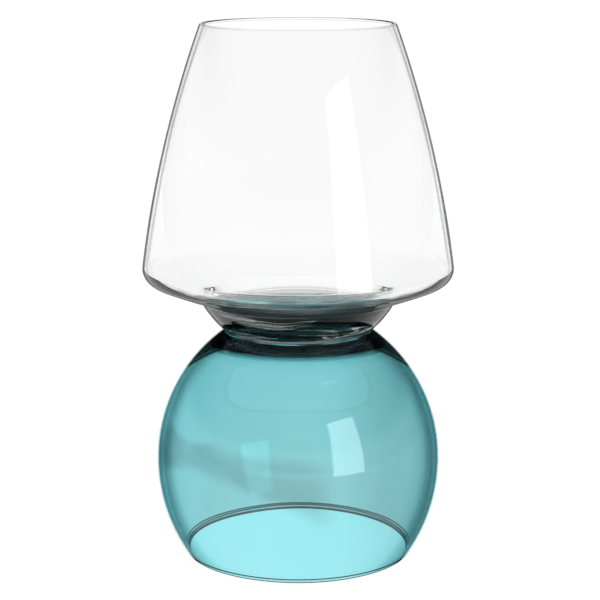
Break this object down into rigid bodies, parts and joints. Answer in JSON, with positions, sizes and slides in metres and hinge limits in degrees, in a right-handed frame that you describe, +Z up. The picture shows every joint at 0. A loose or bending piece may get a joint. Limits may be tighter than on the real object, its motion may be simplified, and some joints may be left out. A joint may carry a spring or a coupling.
{
  "type": "glass lantern",
  "caption": "Lamp-shaped glass lantern: a clear open-topped shade bonded base to base on a teal glass globe that stands on its open rim and holds a candle, lights or flowers.",
  "frame": {"origin": "centre of the rim that the lantern stands on, at table level", "axes": "+Z up along the lantern's axis, towards the shade's mouth; X and Y are free, because the form is round"},
  "size_m": [0.1488, 0.1488, 0.2551],
  "materials": {
    "clear_glass": "polished, mouth-blown, colourless",
    "clear_adhesive": "clear cured film",
    "teal_glass": "polished, mouth-blown, teal through the wall"
  },
  "bodies": {
    "root": {"glass_shade": "clear_glass", "bond_film": "clear_adhesive", "glass_globe": "teal_glass"}
  },
  "joints": []
}
